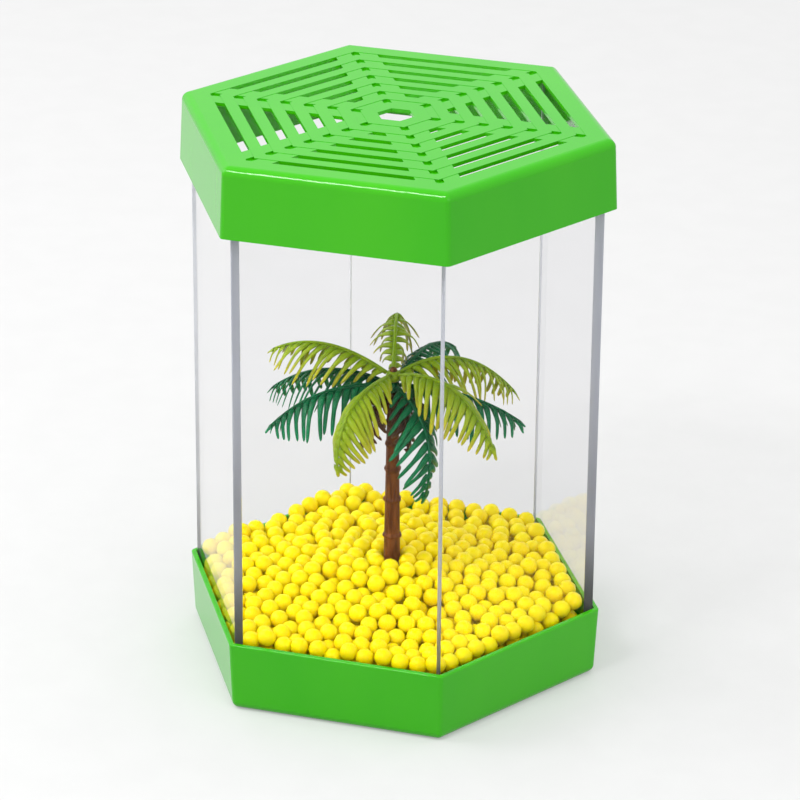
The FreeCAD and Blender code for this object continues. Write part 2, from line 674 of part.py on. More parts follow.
def check_and_write():
    """Refuse a failed or empty shape, then write one file for each node."""
    doc.recompute()
    for item in doc.Objects:
        if "Invalid" in item.State or "Error" in item.State:
            raise RuntimeError(f"{item.Name} failed: {item.State}")
    for item in nodes:
        if item.Shape.isNull() or not item.Shape.isValid():
            raise RuntimeError(f"{item.Label} has no valid shape")
    os.makedirs("parts", exist_ok=True)
    for item in nodes:
        item.Shape.exportStep(f"parts/{item.Label}.step")
        print(f"{item.Label}: {len(item.Shape.Solids)} solids, {item.Shape.Volume:.1f} mm3")


fill_sheet()
make_tray()
make_panels()
make_lid()
make_beads()
make_trunk()
make_whorl("dry", size("dry_half_width"))
make_whorl("lower", size("frond_half_width"))
make_whorl("upper", size("frond_half_width"))
check_and_write()
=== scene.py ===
"""Looks of a hexagonal betta tank: its finishes, loose balls, palm and studio.

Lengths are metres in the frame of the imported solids: +Z up, the origin on the floor under the
middle of the tray, corners of the hexagon on the X axis and flat sides facing -Y and +Y.
"""
import logging
import math
from dataclasses import dataclass
from enum import Enum

import bpy
import numpy as np
from mathutils import Matrix, Vector


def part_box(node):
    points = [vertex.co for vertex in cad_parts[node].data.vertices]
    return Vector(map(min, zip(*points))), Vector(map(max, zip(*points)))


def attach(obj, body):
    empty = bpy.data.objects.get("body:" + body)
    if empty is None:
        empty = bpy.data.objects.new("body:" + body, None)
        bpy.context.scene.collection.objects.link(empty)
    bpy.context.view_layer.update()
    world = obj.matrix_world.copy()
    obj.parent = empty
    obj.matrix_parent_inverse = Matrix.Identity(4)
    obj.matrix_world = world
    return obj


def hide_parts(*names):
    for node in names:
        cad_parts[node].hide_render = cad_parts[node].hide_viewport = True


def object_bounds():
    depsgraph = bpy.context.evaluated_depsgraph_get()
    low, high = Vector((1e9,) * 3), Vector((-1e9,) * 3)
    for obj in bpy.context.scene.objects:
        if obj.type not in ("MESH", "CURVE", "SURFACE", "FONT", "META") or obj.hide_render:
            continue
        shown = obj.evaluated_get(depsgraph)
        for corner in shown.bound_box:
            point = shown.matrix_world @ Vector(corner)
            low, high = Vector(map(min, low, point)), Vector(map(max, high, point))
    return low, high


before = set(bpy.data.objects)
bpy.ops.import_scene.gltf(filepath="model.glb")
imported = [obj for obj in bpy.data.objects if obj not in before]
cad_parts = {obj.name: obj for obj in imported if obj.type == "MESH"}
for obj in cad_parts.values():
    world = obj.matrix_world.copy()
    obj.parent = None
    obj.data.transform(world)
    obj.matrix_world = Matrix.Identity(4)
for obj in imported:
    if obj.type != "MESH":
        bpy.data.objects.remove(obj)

Colour = tuple[float, float, float]
Triple = tuple[float, float, float]
Span = tuple[float, float]
Array = np.ndarray
Pair = tuple[Array, Array]
Socket = bpy.types.NodeSocket
Material = bpy.types.Material

CAD_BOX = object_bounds()
LOG = logging.getLogger("betta_tank")
MM = 0.001
SIDES = 6
WHITE: Colour = (1.0, 1.0, 1.0)
COMMON_NOISE: Span = (0.2, 0.8)


class Body(Enum):
    """Rigid bodies that new pieces ride on."""

    TANK = "tank"
    PALM = "palm"


class Slot(Enum):
    """Material slots of the record, handed along with new pieces but not read by them."""

    SEALANT = "clear_sealant"
    BALLS = "yellow_beads"
    TRUNK = "brown_trunk"
    DARK_LEAF = "dark_fronds"
    LIGHT_LEAF = "light_fronds"


class Corner(Enum):
    """Corners of the hexagon, by how many sixths of a turn they lie from +X."""

    RIGHT = 0
    RIGHT_BACK = 1
    LEFT_BACK = 2
    LEFT = 3
    LEFT_FRONT = 4
    RIGHT_FRONT = 5


class Attribute(Enum):
    """Values that a mesh carries at its points for its finish to read."""

    LEAF_REACH = "leaf_reach"
    BALL_TINT = "ball_tint"


@dataclass(frozen=True)
class Grain:
    """Noise on an object's own coordinates.

    Its scale is in patches to the metre, its detail says how many finer octaves ride on it, and
    its stretch holds factors along X, Y and Z, under one to draw the patches out.
    """

    scale: float
    detail: float = 2.0
    stretch: Triple = (1.0, 1.0, 1.0)


@dataclass(frozen=True)
class Relief:
    """Fine relief: the share of it that is used, and its height."""

    share: float
    height: float


class Nodes:
    """A node tree, with short calls that add and join nodes."""

    def __init__(self, tree: bpy.types.NodeTree) -> None:
        """Take up the tree that gets the nodes."""
        self.tree = tree

    def feed(self, socket: Socket, value: object) -> None:
        """Give a socket its value.

        Args:
            socket: input of a node.
            value: output to join to it, or else the value to set.
        """
        if isinstance(value, Socket):
            self.tree.links.new(value, socket)
        else:
            socket.default_value = value

    def add(self, kind: str, *ordered: object, **named: object) -> bpy.types.Node:
        """Add a node, feed its sockets and set its properties.

        Args:
            kind: Blender's name of the node type.
            ordered: values of the node's first sockets.
            named: values of sockets, with underscores for spaces in their names, and of
                properties, whose names are in lower case.

        Returns:
            The new node.
        """
        node = self.tree.nodes.new(kind)
        for place, value in enumerate(ordered):
            self.feed(node.inputs[place], value)
        for name, value in named.items():
            if name.islower():
                setattr(node, name, value)
            else:
                self.feed(node.inputs[name.replace("_", " ")], value)
        return node

    def combine(self, operation: str, first: Socket, second: Socket | float) -> Socket:
        """Work out a value from two others by one of Blender's operations."""
        return self.add("ShaderNodeMath", first, second, operation=operation).outputs[0]

    def seen(self) -> Socket:
        """Tell rays that show the backdrop from rays that only light the object.

        Returns:
            1 on rays from the eye, gloss or clear pieces, and 0 on the others.
        """
        rays = self.add("ShaderNodeLightPath").outputs
        seen = self.combine("MAXIMUM", rays["Is Camera Ray"], rays["Is Glossy Ray"])
        return self.combine("MAXIMUM", seen, rays["Is Transmission Ray"])


class Recipe(Nodes):
    """A material's node tree, with calls for the steps that the finishes share."""

    def __init__(self, name: str) -> None:
        """Start an empty tree.

        Args:
            name: name of the material.
        """
        self.material = bpy.data.materials.new(name)
        self.material.use_nodes = True
        super().__init__(self.material.node_tree)
        self.tree.nodes.clear()

    def place(self) -> Socket:
        """Give the point's place on the object, in metres."""
        return self.add("ShaderNodeTexCoord").outputs["Object"]

    def noise(self, grain: Grain) -> Socket:
        """Add noise.

        Args:
            grain: size and stretch of its patches.

        Returns:
            The noise, from 0 to 1.
        """
        place = self.add("ShaderNodeMapping", Vector=self.place(), Scale=grain.stretch).outputs[0]
        node = self.add("ShaderNodeTexNoise", Vector=place, Scale=grain.scale, Detail=grain.detail)
        return node.outputs["Fac"]

    def attribute(self, attribute: Attribute) -> Socket:
        """Read one of the mesh's own values at its points."""
        return self.add("ShaderNodeAttribute", attribute_name=attribute.value).outputs["Fac"]

    def ramp(self, source: Socket, stops: tuple[float, ...], *colours: Colour) -> Socket:
        """Turn a value into colours.

        Args:
            source: value from 0 to 1.
            stops: values at which the colours stand, from low to high.
            colours: colour of each stop.

        Returns:
            The colour.
        """
        node = self.add("ShaderNodeValToRGB", Fac=source)
        node.color_ramp.interpolation = "EASE"
        elements = node.color_ramp.elements
        while len(elements) < len(stops):
            elements.new(1.0)
        for element, stop, colour in zip(elements, stops, colours):
            element.position = stop
            element.color = (*colour, 1.0)
        return node.outputs["Color"]

    def spread(self, source: Socket, span: Span) -> Socket:
        """Map the common range of a noise smoothly to two values.

        Args:
            source: noise from 0 to 1.
            span: results for the lowest and the highest noise that is common.

        Returns:
            The mapped value.
        """
        spans = *COMMON_NOISE, *span
        node = self.add("ShaderNodeMapRange", source, *spans, interpolation_type="SMOOTHSTEP")
        return node.outputs["Result"]

    def stain(self, share: float, first: Socket, second: Socket) -> Socket:
        """Multiply one colour by another.

        Args:
            share: share of the second colour's effect.
            first: colour that is multiplied.
            second: colour that darkens or tints it.

        Returns:
            The product.
        """
        node = self.add("ShaderNodeMix", share, data_type="RGBA", blend_type="MULTIPLY")
        # The sockets for colours come after those for numbers and vectors.
        self.feed(node.inputs[6], first)
        self.feed(node.inputs[7], second)
        return node.outputs[2]

    def bump(self, height: Socket, relief: Relief) -> Socket:
        """Make a normal from a height.

        Args:
            height: height from 0 to 1.
            relief: how much of it is used, and how high it stands.

        Returns:
            The normal.
        """
        node = self.add(
            "ShaderNodeBump", Height=height, Strength=relief.share, Distance=relief.height
        )
        return node.outputs["Normal"]

    def finish(self, shader: bpy.types.Node) -> Material:
        """Show a shader on the surface and give the material."""
        self.add("ShaderNodeOutputMaterial", Surface=shader.outputs[0])
        return self.material

    def plastic(self, **sockets: object) -> Material:
        """Show a plastic with these values of its sockets, and give the material."""
        return self.finish(self.add("ShaderNodeBsdfPrincipled", **sockets))


@dataclass(frozen=True)
class MouldedGloss:
    """Glossy moulded plastic with faint flow marks and a trace of mould texture."""

    name: str
    colour: Colour
    flow: Colour
    clouds: Grain = Grain(26.0, 3.0, (1.0, 1.0, 0.35))
    cloud_stops: Span = (0.15, 0.85)
    roughness: Span = (0.10, 0.17)
    ior: float = 1.38
    skin: Grain = Grain(1400.0, 1.0)
    relief: Relief = Relief(0.15, 0.01 * MM)

    def material(self) -> Material:
        """Build the material.

        Returns:
            Plastic whose colour drifts between two shades, whose gloss varies in cloudy patches
            and whose skin is faintly uneven.
        """
        recipe = Recipe(self.name)
        clouds = recipe.noise(self.clouds)
        return recipe.plastic(
            Base_Color=recipe.ramp(clouds, self.cloud_stops, self.colour, self.flow),
            Roughness=recipe.spread(clouds, self.roughness),
            IOR=self.ior,
            Normal=recipe.bump(recipe.noise(self.skin), self.relief),
        )


@dataclass(frozen=True)
class ClearSheet:
    """Clear polished sheet that bends light, with lamps let straight through.

    Light that has turned often inside the sheet leaves it straight ahead, so that the edges of
    the sheet don't show as black.
    """

    name: str
    tint: Colour
    smears: Grain = Grain(22.0, 4.0, (1.0, 1.0, 0.4))
    roughness: Span = (0.0, 0.03)
    ior: float = 1.14
    most_turns: float = 4.0

    def material(self) -> Material:
        """Build the material.

        Returns:
            Clear plastic with faint smears of haze, which casts only a tinted shadow.
        """
        recipe = Recipe(self.name)
        tint = (*self.tint, 1.0)
        clear = recipe.add(
            "ShaderNodeBsdfPrincipled",
            Base_Color=tint,
            Roughness=recipe.spread(recipe.noise(self.smears), self.roughness),
            IOR=self.ior,
            Transmission_Weight=1.0,
        )
        passing = recipe.add("ShaderNodeBsdfTransparent", Color=tint)
        rays = recipe.add("ShaderNodeLightPath").outputs
        trapped = recipe.combine("GREATER_THAN", rays["Ray Depth"], self.most_turns)
        straight = recipe.combine("MAXIMUM", rays["Is Shadow Ray"], trapped)
        shaders = clear.outputs[0], passing.outputs[0]
        return recipe.finish(recipe.add("ShaderNodeMixShader", straight, *shaders))


@dataclass(frozen=True)
class EdgeFilm:
    """Cured adhesive in a joint: cool grey with painted shade at the tray, and drawn-out streaks.
    """

    name: str
    lower: Colour
    middle: Colour
    upper: Colour
    stops: tuple[float, ...] = (0.09, 0.27, 0.6)
    streaks: Grain = Grain(160.0, 3.0, (1.0, 1.0, 0.05))
    streak_stops: Span = (0.3, 0.7)
    streak_tint: Colour = (0.86, 0.87, 0.9)
    roughness: Span = (0.35, 0.5)

    def material(self, levels: Span) -> Material:
        """Build the material.

        Args:
            levels: heights of the film's foot and top.

        Returns:
            Satin grey film with painted shade that darkens it towards its foot, and streaks along
            it.
        """
        recipe = Recipe(self.name)
        height = recipe.add("ShaderNodeSeparateXYZ", Vector=recipe.place()).outputs["Z"]
        share = recipe.add("ShaderNodeMapRange", height, *levels).outputs["Result"]
        # The colour runs from a dark foot to a pale top by height: painted shade near the tray.
        base = recipe.ramp(share, self.stops, self.lower, self.middle, self.upper)
        streaks = recipe.noise(self.streaks)
        veil = recipe.ramp(streaks, self.streak_stops, self.streak_tint, WHITE)
        return recipe.plastic(
            Base_Color=recipe.stain(1.0, base, veil),
            Roughness=recipe.spread(streaks, self.roughness),
        )


@dataclass(frozen=True)
class BallGloss:
    """Glossy coloured ball that light enters a little, each ball with its own tint."""

    name: str
    pale: Colour
    deep: Colour
    glow: Colour
    glow_depth: float = 2.0 * MM
    scatter: float = 0.7
    tint_stops: Span = (0.0, 1.0)
    clouds: Grain = Grain(420.0)
    roughness: Span = (0.20, 0.26)
    ior: float = 1.45
    sheen: Colour = (1.0, 0.93, 0.3)
    relief: Relief = Relief(0.1, 0.02 * MM)

    def material(self) -> Material:
        """Build the material.

        Returns:
            Glossy plastic with shallow scatter and a shade that differs from ball to ball.
        """
        recipe = Recipe(self.name)
        tint = recipe.attribute(Attribute.BALL_TINT)
        clouds = recipe.noise(self.clouds)
        return recipe.plastic(
            Base_Color=recipe.ramp(tint, self.tint_stops, self.pale, self.deep),
            Roughness=recipe.spread(clouds, self.roughness),
            IOR=self.ior,
            Specular_Tint=(*self.sheen, 1.0),
            Subsurface_Weight=self.scatter,
            Subsurface_Radius=self.glow,
            Subsurface_Scale=self.glow_depth,
            Normal=recipe.bump(clouds, self.relief),
        )


@dataclass(frozen=True)
class LeafPlastic:
    """Satin leaf plastic whose colour runs from the rib to the leaflet tips, in streaks."""

    name: str
    rib: Colour
    middle: Colour
    tip: Colour
    shade: Colour
    stops: tuple[float, ...] = (0.0, 0.45, 1.0)
    dye: Grain = Grain(260.0, 3.0)
    dye_stops: Span = (0.38, 0.62)
    dye_share: float = 0.75
    roughness: Span = (0.3, 0.48)
    ior: float = 1.3
    scatter: float = 0.15
    glow: Colour = (0.6, 1.0, 0.2)
    glow_depth: float = 0.5 * MM
    skin: Grain = Grain(1900.0)
    relief: Relief = Relief(0.25, 0.05 * MM)

    def material(self) -> Material:
        """Build the material.

        Returns:
            Satin plastic with a gradient along each leaflet and cloudy patches of a darker dye.
        """
        recipe = Recipe(self.name)
        reach = recipe.attribute(Attribute.LEAF_REACH)
        run = recipe.ramp(reach, self.stops, self.rib, self.middle, self.tip)
        dye = recipe.noise(self.dye)
        patches = recipe.ramp(dye, self.dye_stops, self.shade, WHITE)
        return recipe.plastic(
            Base_Color=recipe.stain(self.dye_share, run, patches),
            Roughness=recipe.spread(dye, self.roughness),
            IOR=self.ior,
            Subsurface_Weight=self.scatter,
            Subsurface_Radius=self.glow,
            Subsurface_Scale=self.glow_depth,
            Normal=recipe.bump(recipe.noise(self.skin), self.relief),
        )


@dataclass(frozen=True)
class BarkPlastic:
    """Satin brown plastic with upright fibres and worn patches."""

    name: str
    fibre: Colour
    worn: Colour
    fibres: Grain = Grain(900.0, 4.0, (1.0, 1.0, 0.12))
    fibre_stops: Span = (0.32, 0.7)
    roughness: Span = (0.38, 0.56)
    ior: float = 1.26
    relief: Relief = Relief(0.4, 0.12 * MM)

    def material(self) -> Material:
        """Build the material.

        Returns:
            Brown plastic streaked along the trunk, with relief from the same streaks.
        """
        recipe = Recipe(self.name)
        fibres = recipe.noise(self.fibres)
        return recipe.plastic(
            Base_Color=recipe.ramp(fibres, self.fibre_stops, self.fibre, self.worn),
            Roughness=recipe.spread(fibres, self.roughness),
            IOR=self.ior,
            Normal=recipe.bump(fibres, self.relief),
        )


@dataclass(frozen=True)
class StudioPaint:
    """White floor that keeps shadows and reads as white to the eye and in reflections."""

    name: str
    white: float = 0.50
    drift: float = 0.01
    lift: float = 0.29
    grain: Grain = Grain(60.0)
    grain_stops: Span = (0.3, 0.7)

    def material(self) -> Material:
        """Build the material.

        Returns:
            Matt white with a constant lift on rays from the eye, gloss or clear pieces.
        """
        recipe = Recipe(self.name)
        shades = (self.white - self.drift,) * 3, (self.white,) * 3
        paint = recipe.ramp(recipe.noise(self.grain), self.grain_stops, *shades)
        matt = recipe.add("ShaderNodeBsdfDiffuse", Color=paint)
        strength = recipe.combine("MULTIPLY", recipe.seen(), self.lift)
        lift = recipe.add("ShaderNodeEmission", Strength=strength)
        shaders = matt.outputs[0], lift.outputs[0]
        return recipe.finish(recipe.add("ShaderNodeAddShader", *shaders))


@dataclass
class Skin:
    """Points and faces of a mesh, with one value at each point for its finish."""

    points: Array
    quads: Array
    triangles: Array
    values: Array

    def piece(
        self, name: str, material: Material, attribute: Attribute | None = None
    ) -> bpy.types.Object:
        """Put the skin into a mesh object at the origin.

        Args:
            name: name of the piece.
            material: its finish.
            attribute: name under which the points' values are kept, if the finish reads them.

        Returns:
            The new object.
        """
        mesh = bpy.data.meshes.new(name)
        mesh.from_pydata(self.points.tolist(), [], self.quads.tolist() + self.triangles.tolist())
        mesh.polygons.foreach_set("use_smooth", np.ones(len(mesh.polygons), bool))
        if attribute is not None:
            layer = mesh.attributes.new(attribute.value, "FLOAT", "POINT")
            layer.data.foreach_set("value", self.values.astype(np.float32))
        mesh.materials.append(material)
        mesh.update()
        item = bpy.data.objects.new(name, mesh)
        bpy.context.scene.collection.objects.link(item)
        return item


def skin_tubes(rings: Array, poles: Array, values: Array) -> Skin:
    """Skin stacks of closed rings into tubes with a point at each end.

    Neighbouring rings are joined by quads, and the first and last ring by triangles to their
    pole. Rings run anticlockwise as seen from the tube's far end.

    Args:
        rings: points, tubes by rings by places around by 3.
        poles: near and far end point of each tube, tubes by 2 by 3.
        values: one value for each ring, tubes by rings.

    Returns:
        The closed skin of all the tubes.
    """
    count, rows, around = rings.shape[:3]
    own = rows * around + 2
    points = np.concatenate([rings.reshape(count, rows * around, 3), poles], axis=1)
    first = (own * np.arange(count))[:, None, None]
    row = np.arange(rows - 1)[:, None]
    place = np.arange(around)[None, :]
    after = (place + 1) % around
    corners = [row * around + place, row * around + after]
    corners += [(row + 1) * around + after, (row + 1) * around + place]
    quads = np.stack(corners, axis=-1).reshape(1, -1, 4) + first
    last = (rows - 1) * around
    near = np.stack([np.full(around, own - 2), after[0], place[0]], axis=-1)
    far = np.stack([np.full(around, own - 1), last + place[0], last + after[0]], axis=-1)
    triangles = np.concatenate([near, far])[None] + first
    ends = np.stack([values[:, 0], values[:, -1]], axis=1)
    each = np.concatenate([np.repeat(values, around, axis=1), ends], axis=1)
    return Skin(
        points.reshape(-1, 3), quads.reshape(-1, 4), triangles.reshape(-1, 3), each.ravel()
    )


def skin_tube(rings: Array, near: Triple | Array, far: Triple | Array) -> Skin:
    """Skin one stack of rings between two end points, with no value for the finish."""
    return skin_tubes(rings[None], np.array([[near, far]]), np.zeros((1, len(rings))))


def join_skins(skins: list[Skin]) -> Skin:
    """Put several skins into one mesh.

    Args:
        skins: the skins, in order.

    Returns:
        One skin with their points one after another and their faces renumbered.
    """
    starts = np.cumsum([0] + [len(skin.points) for skin in skins[:-1]])
    moved = [
        (skin.points, skin.quads + start, skin.triangles + start, skin.values)
        for skin, start in zip(skins, starts)
    ]
    return Skin(*(np.concatenate(parts) for parts in zip(*moved)))


def circle(around: int) -> Pair:
    """Give the cosine and sine of evenly spaced angles of a full turn."""
    angles = 2.0 * math.pi * np.arange(around) / around
    return np.cos(angles), np.sin(angles)


def lathe(radius: Array, levels: Array, ends: Span) -> Skin:
    """Turn radii about the Z axis.

    Args:
        radius: radii, levels by places around.
        levels: heights, in a column.
        ends: heights of the lower and upper end.

    Returns:
        The turned skin.
    """
    rings = [radius * wave for wave in circle(radius.shape[1])]
    rings.append(np.broadcast_to(levels, radius.shape))
    return skin_tube(np.stack(rings, axis=-1), *((0.0, 0.0, end) for end in ends))


def dress(node: str, material: Material) -> None:
    """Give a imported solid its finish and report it.

    Args:
        node: name of the solid.
        material: its finish.
    """
    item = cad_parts[node]
    for slot in item.material_slots:
        slot.material = material
    LOG.info("%s keeps its solid, in %s", node, material.name)


def settle_piece(piece: bpy.types.Object, body: Body, slot: Slot, *nodes: str) -> None:
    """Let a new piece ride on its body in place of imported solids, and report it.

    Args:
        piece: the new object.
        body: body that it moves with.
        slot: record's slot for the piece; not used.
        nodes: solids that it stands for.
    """
    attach(piece, body.value)
    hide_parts(*nodes)
    LOG.info("%s rides on %s for %s", piece.name, body.value, ", ".join(nodes))


@dataclass
class Shell:
    """Moulded tray and lid, which stay as packed and share one green plastic."""

    plastic: MouldedGloss = MouldedGloss(
        "green_moulded_plastic", colour=(0.036, 0.465, 0.000), flow=(0.054, 0.505, 0.003)
    )

    def build(self) -> None:
        """Dress the tray and the lid."""
        material = self.plastic.material()
        for node in ("base_tray", "lid"):
            dress(node, material)


@dataclass
class Walls:
    """Clear panels in their sealant, with the adhesive film that shows in every corner."""

    sheet: ClearSheet = ClearSheet("clear_acrylic", tint=(0.943, 0.942, 0.948))
    main_film: EdgeFilm = EdgeFilm(
        "adhesive_film",
        lower=(0.10, 0.105, 0.10), middle=(0.36, 0.37, 0.40), upper=(0.56, 0.575, 0.63),
    )
    # A lighter copy of the same film for the back corners: painted light.
    painted_light_film: EdgeFilm = EdgeFilm(
        "adhesive_film_painted_lighter",
        lower=(0.45, 0.46, 0.46), middle=(0.70, 0.71, 0.74), upper=(0.84, 0.85, 0.90),
    )
    painted_light_corners: tuple[Corner, ...] = (Corner.LEFT_BACK, Corner.RIGHT_BACK)
    film_spare: float = 0.03 * MM
    film_around: int = 16
    film_rows: int = 12
    film_power: float = 0.3

    def build(self) -> None:
        """Dress the panels and the sealant, and make the corner films."""
        clear = self.sheet.material()
        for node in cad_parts:
            if node.startswith("panel_"):
                dress(node, clear)
        low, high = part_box("corner_seal_right")
        levels = (low.z, high.z)
        main_film = self.main_film.material(levels)
        painted_light_film = self.painted_light_film.material(levels)
        dress("base_seal", main_film)
        for corner in Corner:
            node = f"corner_seal_{corner.name.lower()}"
            # The back corners take the lighter copy of the film, painted light.
            film = painted_light_film if corner in self.painted_light_corners else main_film
            strip = self.corner_film(corner).piece(f"corner_film_{corner.name.lower()}", film)
            settle_piece(strip, Body.TANK, Slot.SEALANT, node)

    def corner_film(self, corner: Corner) -> Skin:
        """Carry a rounded strip's outline up a corner.

        The outline is a superellipse across the mitre: each coordinate is the cosine or sine of
        an angle, with its size raised to a power under 1. It is a trace thicker than the packed
        film, so that it lies inside the sheets on both sides, and is turned to its corner.

        Args:
            corner: corner that it fills.

        Returns:
            The strip's skin.
        """
        low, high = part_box("corner_seal_right")
        waves = circle(self.film_around)
        along, across = (np.sign(wave) * np.abs(wave) ** self.film_power for wave in waves)
        middle, half = (low.x + high.x) / 2, (high.x - low.x) / 2
        radial = middle + half * along
        sideways = (high.y + self.film_spare) * across
        angle = math.radians(corner.value * 360.0 / SIDES)
        x = radial * math.cos(angle) - sideways * math.sin(angle)
        y = radial * math.sin(angle) + sideways * math.cos(angle)
        levels = np.linspace(low.z, high.z, self.film_rows)[:, None]
        rings = np.stack(np.broadcast_arrays(x, y, levels), axis=-1)
        spot = (middle * math.cos(angle), middle * math.sin(angle))
        return skin_tube(rings, (*spot, low.z), (*spot, high.z))


@dataclass(frozen=True)
class Heap:
    """One heap of the bed: the place of its top, its rise and how far it spreads."""

    x: float
    y: float
    rise: float
    spread: float

    def height(self, x: Array, y: Array) -> Array:
        """Give the heap's bell shape, its rise times exp(-(distance / spread)^2)."""
        return self.rise * np.exp(-((x - self.x) ** 2 + (y - self.y) ** 2) / self.spread ** 2)


@dataclass
class BallBed:
    """Loose balls, settled under a gently heaped surface between the walls and the trunk.

    The reach of a search for pairs is in radii, and the roughness is how much the balls' own
    ceilings differ.
    """

    radius: float = 3.0 * MM
    count: int = 885
    draws: int = 4
    seed: int = 5
    rounds: int = 300
    rest_rounds: int = 100
    refresh: int = 5
    reach: float = 3.2
    floor_level: float = 13.3 * MM
    wall_gap: float = 0.1 * MM
    trunk_gap: float = 0.2 * MM
    edge_level: float = 27.0 * MM
    tilt: float = 0.028
    heaps: tuple[Heap, ...] = (
        Heap(0.0, 0.0, 7.8 * MM, 30.0 * MM),
        Heap(46.0 * MM, 27.0 * MM, 1.2 * MM, 22.0 * MM),
        Heap(-55.0 * MM, 6.0 * MM, 2.4 * MM, 24.0 * MM),
        Heap(-34.0 * MM, 48.0 * MM, 2.2 * MM, 20.0 * MM),
    )
    roughness: float = 0.6 * MM
    press: float = 0.06 * MM
    rows: int = 5
    around: int = 10
    gloss: BallGloss = BallGloss(
        "yellow_ball_gloss", pale=(0.95, 0.78, 0.0), deep=(0.95, 0.73, 0.0), glow=(1.0, 0.85, 0.02)
    )

    def build(self) -> None:
        """Settle the balls and make their piece."""
        balls = self.balls(self.settle())
        piece = balls.piece("loose_balls", self.gloss.material(), Attribute.BALL_TINT)
        settle_piece(piece, Body.TANK, Slot.BALLS, "bead_bed", "top_beads")

    def surface(self, centres: Array) -> Array:
        """Height of the bed over a place.

        A level, plus a slope along Y, plus the bell shape of every heap.

        Args:
            centres: places, with X and Y first.

        Returns:
            Heights.
        """
        x, y = centres[:, 0], centres[:, 1]
        return self.edge_level + self.tilt * y + sum(heap.height(x, y) for heap in self.heaps)

    def neighbours(self, centres: Array) -> Pair:
        """Pair the balls that may touch within a few rounds.

        Args:
            centres: centres of the balls.

        Returns:
            Numbers of the first and of the second ball of every pair.
        """
        gaps = centres[:, None, :] - centres[None, :, :]
        near = (gaps ** 2).sum(axis=2) < (self.reach * self.radius) ** 2
        return np.nonzero(np.triu(near, 1))

    def settle(self) -> Array:
        """Scatter balls at random and let them push each other apart.

        Each round, every ball moves by half its overlap with each neighbour, is pressed a little
        towards the bed's surface, and is put back inside the walls, above the floor, below its
        own ceiling and off the trunk. Nothing is pressed in the last rounds.

        Returns:
            Centres of the balls.
        """
        rng = np.random.default_rng(self.seed)
        wall = -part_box("panel_front")[1].y - self.radius - self.wall_gap
        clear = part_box("palm_trunk")[1].x + self.radius + self.trunk_gap
        angles = math.pi / 2 + 2.0 * math.pi * np.arange(SIDES) / SIDES
        normals = np.stack([np.cos(angles), np.sin(angles)], axis=1)
        spots = rng.uniform(-1.0, 1.0, (self.draws * self.count, 2))
        spots = spots * wall / math.cos(math.pi / SIDES)
        spots = spots[(spots @ normals.T).max(axis=1) < wall][: self.count]
        ceiling = rng.normal(0.0, self.roughness, len(spots)) - self.radius
        floor = self.floor_level + self.radius
        depth = rng.uniform(0.0, 1.0, len(spots))
        height = floor + depth * (self.surface(spots) + ceiling - floor)
        centres = np.concatenate([spots, height[:, None]], axis=1)
        for turn in range(self.rounds):
            if turn % self.refresh == 0:
                first, second = self.neighbours(centres)
            gaps = centres[first] - centres[second]
            distances = np.linalg.norm(gaps, axis=1, keepdims=True)
            push = 0.5 * gaps * np.clip(2.0 * self.radius / distances - 1.0, 0.0, None)
            np.add.at(centres, first, push)
            np.subtract.at(centres, second, push)
            if turn < self.rounds - self.rest_rounds:
                centres[:, 2] += self.press
            for normal in normals:
                excess = np.clip(centres[:, :2] @ normal - wall, 0.0, None)
                centres[:, :2] -= excess[:, None] * normal
            away = np.hypot(centres[:, 0], centres[:, 1])
            centres[:, :2] *= (np.maximum(away, clear) / np.maximum(away, MM))[:, None]
            centres[:, 2] = np.clip(centres[:, 2], floor, self.surface(centres) + ceiling)
        return centres

    def balls(self, centres: Array) -> Skin:
        """Put a ball at every centre.

        A ball is a function of latitude and longitude on a coarse grid, turned by a rotation of
        its own so that no pattern shows.

        Args:
            centres: centres of the balls.

        Returns:
            The skin of all the balls, each with one tint.
        """
        rng = np.random.default_rng(self.seed + 1)
        latitude = math.pi * (np.arange(self.rows) + 1) / (self.rows + 1)
        cosine, sine = circle(self.around)
        ring = np.sin(latitude)[:, None]
        heights = np.broadcast_to(-np.cos(latitude)[:, None], (self.rows, self.around))
        ball = self.radius * np.stack([ring * cosine, ring * sine, heights], axis=-1)
        poles = self.radius * np.array([[0.0, 0.0, -1.0], [0.0, 0.0, 1.0]])
        turns = random_turns(rng, len(centres))
        rings = np.einsum("bij,rkj->brki", turns, ball) + centres[:, None, None, :]
        ends = np.einsum("bij,pj->bpi", turns, poles) + centres[:, None, :]
        tints = np.repeat(rng.uniform(0.0, 1.0, len(centres))[:, None], self.rows, axis=1)
        return skin_tubes(rings, ends, tints)


def random_turns(rng: np.random.Generator, count: int) -> Array:
    """Make rotation matrices from random unit quaternions.

    Args:
        rng: source of chance.
        count: how many.

    Returns:
        Matrices, count by 3 by 3.
    """
    quaternions = rng.normal(size=(4, count))
    w, x, y, z = quaternions / np.linalg.norm(quaternions, axis=0)
    rows = [
        [1 - 2 * (y * y + z * z), 2 * (x * y - z * w), 2 * (x * z + y * w)],
        [2 * (x * y + z * w), 1 - 2 * (x * x + z * z), 2 * (y * z - x * w)],
        [2 * (x * z - y * w), 2 * (y * z + x * w), 1 - 2 * (x * x + y * y)],
    ]
    return np.array(rows).transpose(2, 0, 1)


